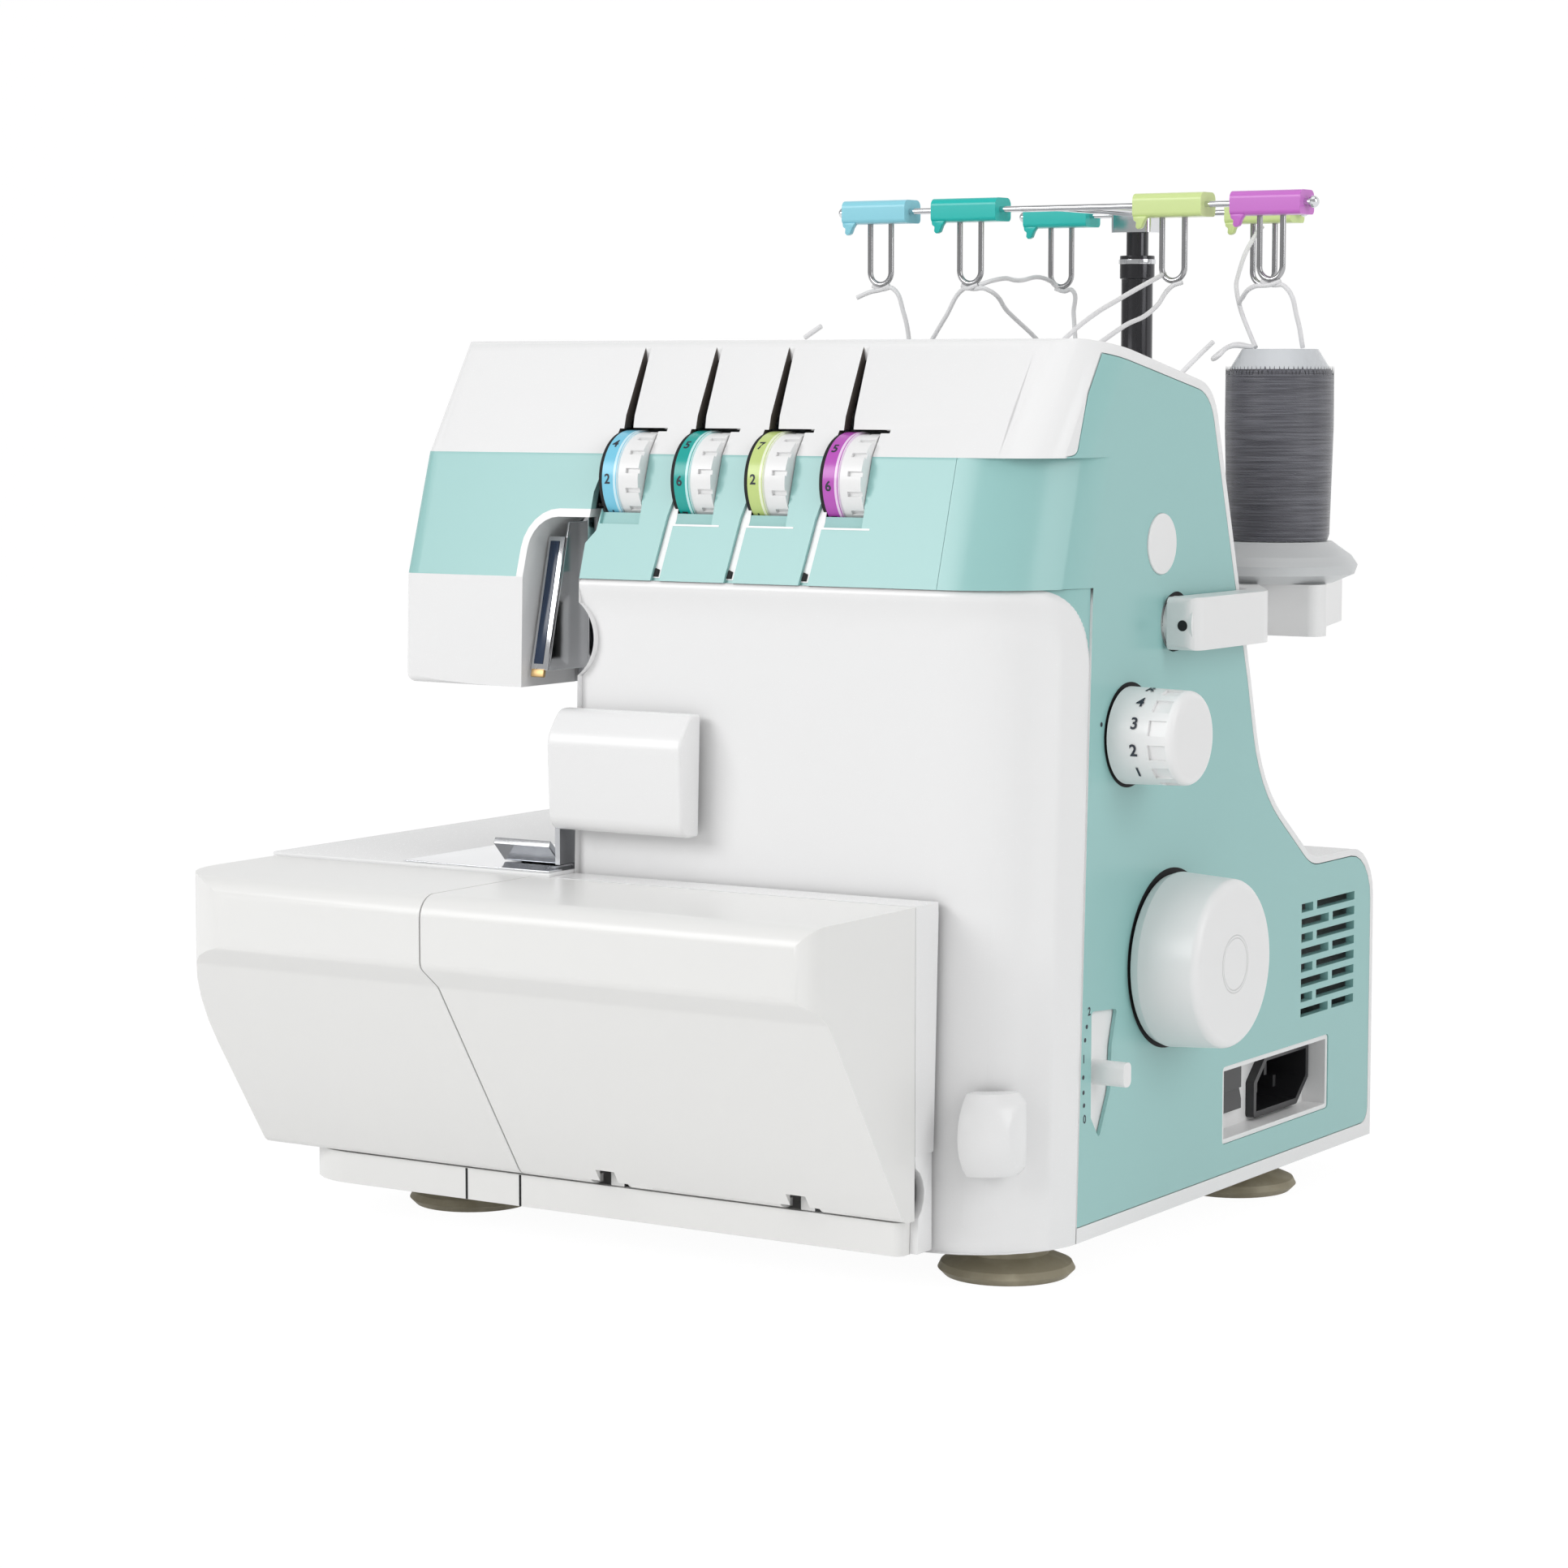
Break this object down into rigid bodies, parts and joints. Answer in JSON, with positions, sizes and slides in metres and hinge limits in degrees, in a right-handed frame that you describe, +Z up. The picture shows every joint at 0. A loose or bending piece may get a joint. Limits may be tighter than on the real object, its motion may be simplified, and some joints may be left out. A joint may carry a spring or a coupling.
{
  "type": "serger overlock machine",
  "caption": "Four-thread serger with tension dials, drop-down looper cover, handwheel, feed controls, spool stand and telescopic thread guide.",
  "frame": {"origin": "on the floor, below the middle of the overall box", "axes": "+Z up, +X to the operator's right, along the main shaft, +Y to the back"},
  "size_m": [0.301, 0.3474, 0.335],
  "materials": {
    "white_shell": "glossy moulded ABS",
    "teal_shell": "glossy moulded ABS",
    "white_plastic": "satin moulded plastic",
    "foot_rubber": "soft rubber",
    "polished_steel": "polished plating",
    "ground_steel": "ground steel",
    "cast_alloy": "die-cast alloy",
    "bush_bronze": "sintered bronze",
    "black_plastic": "black moulded plastic",
    "belt_rubber": "black rubber",
    "motor_steel": "painted motor can",
    "ring_blue": "glossy plastic",
    "ring_teal": "glossy plastic",
    "ring_green": "glossy plastic",
    "ring_magenta": "glossy plastic",
    "disc_plastic": "milky translucent plastic",
    "grey_thread": "wound polyester thread",
    "white_thread": "wound polyester thread",
    "clip_colours": "glossy plastic"
  },
  "bodies": {
    "machine": {"base_plate": "white_plastic", "rubber_feet": "foot_rubber", "front_panel": "white_shell", "head_band": "teal_shell", "head_top_cover": "white_shell", "face_cover": "white_shell", "rear_housing": "white_shell", "side_cover": "teal_shell", "bed_housing": "white_shell", "cloth_plate": "white_shell", "needle_area_plate": "polished_steel", "cast_frame": "cast_alloy", "shaft_bushes": "bush_bronze", "drive_belt": "belt_rubber", "motor": "motor_steel", "needle_plate": "polished_steel", "bar_guide": "cast_alloy", "lower_cutter": "ground_steel", "looper_shafts": "ground_steel", "tension_posts": "ground_steel", "side_plug": "white_plastic", "mains_inlet": "white_plastic", "spool_stand": "white_plastic", "spool_discs": "disc_plastic", "mast_lower": "black_plastic"},
    "drive_shaft": {"main_shaft": "ground_steel", "handwheel": "white_plastic", "driven_pulley": "cast_alloy"},
    "motor_rotor": {"motor_pulley": "cast_alloy"},
    "cover_slide": {"cover_hinge_rod": "ground_steel"},
    "looper_cover": {"looper_cover": "white_shell"},
    "cloth_plate_cover": {"cloth_plate_cover": "white_shell"},
    "cutter_guard": {"cutter_guard": "white_plastic"},
    "needle_bar": {"needle_bar": "polished_steel", "needle_clamp": "ground_steel", "needles": "polished_steel"},
    "presser_bar": {"presser_bar": "polished_steel", "presser_foot": "polished_steel"},
    "presser_lifter": {"presser_lifter": "white_plastic"},
    "feed_dogs": {"feed_dogs": "ground_steel"},
    "upper_cutter": {"upper_cutter": "ground_steel"},
    "lower_looper": {"lower_looper": "ground_steel"},
    "upper_looper": {"upper_looper": "ground_steel"},
    "dial_blue": {"tension_dial_blue": "ring_blue"},
    "dial_teal": {"tension_dial_teal": "ring_teal"},
    "dial_green": {"tension_dial_green": "ring_green"},
    "dial_magenta": {"tension_dial_magenta": "ring_magenta"},
    "stitch_length_dial": {"stitch_length_dial": "white_plastic"},
    "differential_lever": {"differential_lever": "white_plastic"},
    "power_switch": {"power_switch": "black_plastic"},
    "thread_guide": {"mast_upper": "polished_steel", "guide_bar": "polished_steel", "clips_outer": "clip_colours", "clips_inner": "clip_colours", "thread_loops": "polished_steel"},
    "reel_1": {"spool_1": "white_thread"},
    "reel_2": {"spool_2": "white_thread"},
    "reel_3": {"spool_3": "grey_thread"},
    "reel_4": {"spool_4": "white_thread"}
  },
  "joints": [
    {"name": "handwheel_turn", "type": "hinge", "parent": "machine", "child": "drive_shaft", "pos_m": [-0.0005, -0.01394, 0.0926], "axis": [1, 0, 0], "continuous": true},
    {"name": "motor_spin", "type": "hinge", "parent": "machine", "child": "motor_rotor", "pos_m": [-0.0005, 0.09176, 0.06], "axis": [1, 0, 0], "continuous": true},
    {"name": "cover_shift", "type": "slide", "parent": "machine", "child": "cover_slide", "axis": [1, 0, 0], "range_m": [0, 0.005]},
    {"name": "cover_tilt", "type": "hinge", "parent": "cover_slide", "child": "looper_cover", "pos_m": [-0.0005, -0.11924, 0.031], "axis": [1, 0, 0], "range_deg": [0, 65]},
    {"name": "cloth_plate_cover_slide", "type": "slide", "parent": "machine", "child": "cloth_plate_cover", "axis": [-1, 0, 0], "range_m": [0, 0.06]},
    {"name": "guard_slide", "type": "slide", "parent": "machine", "child": "cutter_guard", "axis": [1, 0, 0], "range_m": [0, 0.008], "stiffness_N_per_m": 150},
    {"name": "needle_bar_stroke", "type": "slide", "parent": "machine", "child": "needle_bar", "axis": [0, 0, 1], "range_m": [-0.012, 0.012]},
    {"name": "presser_lift", "type": "slide", "parent": "machine", "child": "presser_bar", "axis": [0, 0, 1], "range_m": [0, 0.0049]},
    {"name": "lifter_swing", "type": "hinge", "parent": "machine", "child": "presser_lifter", "pos_m": [-0.0715, 0.02376, 0.214], "axis": [1, 0, 0], "range_deg": [0, 20]},
    {"name": "feed_stroke", "type": "slide", "parent": "machine", "child": "feed_dogs", "axis": [0, 1, 0], "range_m": [-0.002, 0.002]},
    {"name": "upper_cutter_swing", "type": "hinge", "parent": "machine", "child": "upper_cutter", "pos_m": [-0.0205, -0.08724, 0.146], "axis": [1, 0, 0], "range_deg": [-18, 0]},
    {"name": "lower_looper_swing", "type": "hinge", "parent": "machine", "child": "lower_looper", "pos_m": [-0.0845, -0.07024, 0.044], "axis": [0, 1, 0], "range_deg": [-10, 4]},
    {"name": "upper_looper_swing", "type": "hinge", "parent": "machine", "child": "upper_looper", "pos_m": [-0.0525, -0.07024, 0.044], "axis": [0, 1, 0], "range_deg": [-4, 10]},
    {"name": "tension_blue_turn", "type": "hinge", "parent": "machine", "child": "dial_blue", "pos_m": [-0.0005, -0.07924, 0.2418], "axis": [1, 0, 0], "range_deg": [-150, 150]},
    {"name": "tension_teal_turn", "type": "hinge", "parent": "machine", "child": "dial_teal", "pos_m": [-0.0005, -0.07924, 0.2418], "axis": [1, 0, 0], "range_deg": [-150, 150]},
    {"name": "tension_green_turn", "type": "hinge", "parent": "machine", "child": "dial_green", "pos_m": [-0.0005, -0.07924, 0.2418], "axis": [1, 0, 0], "range_deg": [-150, 150]},
    {"name": "tension_magenta_turn", "type": "hinge", "parent": "machine", "child": "dial_magenta", "pos_m": [-0.0005, -0.07924, 0.2418], "axis": [1, 0, 0], "range_deg": [-150, 150]},
    {"name": "stitch_length_turn", "type": "hinge", "parent": "machine", "child": "stitch_length_dial", "pos_m": [0.1195, -0.04194, 0.165], "axis": [1, 0, 0], "range_deg": [-90, 150]},
    {"name": "differential_swing", "type": "hinge", "parent": "machine", "child": "differential_lever", "pos_m": [0.1195, -0.02224, 0.063], "axis": [1, 0, 0], "range_deg": [-17, 13]},
    {"name": "switch_rock", "type": "hinge", "parent": "machine", "child": "power_switch", "pos_m": [0.116, 0.04476, 0.0412], "axis": [0, 1, 0], "range_deg": [-8, 0]},
    {"name": "mast_slide", "type": "slide", "parent": "machine", "child": "thread_guide", "axis": [0, 0, 1], "range_m": [0, 0.09]},
    {"name": "reel_1_spin", "type": "hinge", "parent": "machine", "child": "reel_1", "pos_m": [-0.0355, 0.08796, 0.22], "axis": [0, 0, 1], "continuous": true},
    {"name": "reel_2_spin", "type": "hinge", "parent": "machine", "child": "reel_2", "pos_m": [-0.0005, 0.14726, 0.22], "axis": [0, 0, 1], "continuous": true},
    {"name": "reel_3_spin", "type": "hinge", "parent": "machine", "child": "reel_3", "pos_m": [0.1145, 0.08796, 0.22], "axis": [0, 0, 1], "continuous": true},
    {"name": "reel_4_spin", "type": "hinge", "parent": "machine", "child": "reel_4", "pos_m": [0.0795, 0.14726, 0.22], "axis": [0, 0, 1], "continuous": true}
  ],
  "couplings": [
    {"joint": "motor_spin", "follows": "handwheel_turn", "ratio": 3.7333},
    {"joint": "lifter_swing", "follows": "presser_lift", "rad_per_m": 69.93}
  ]
}
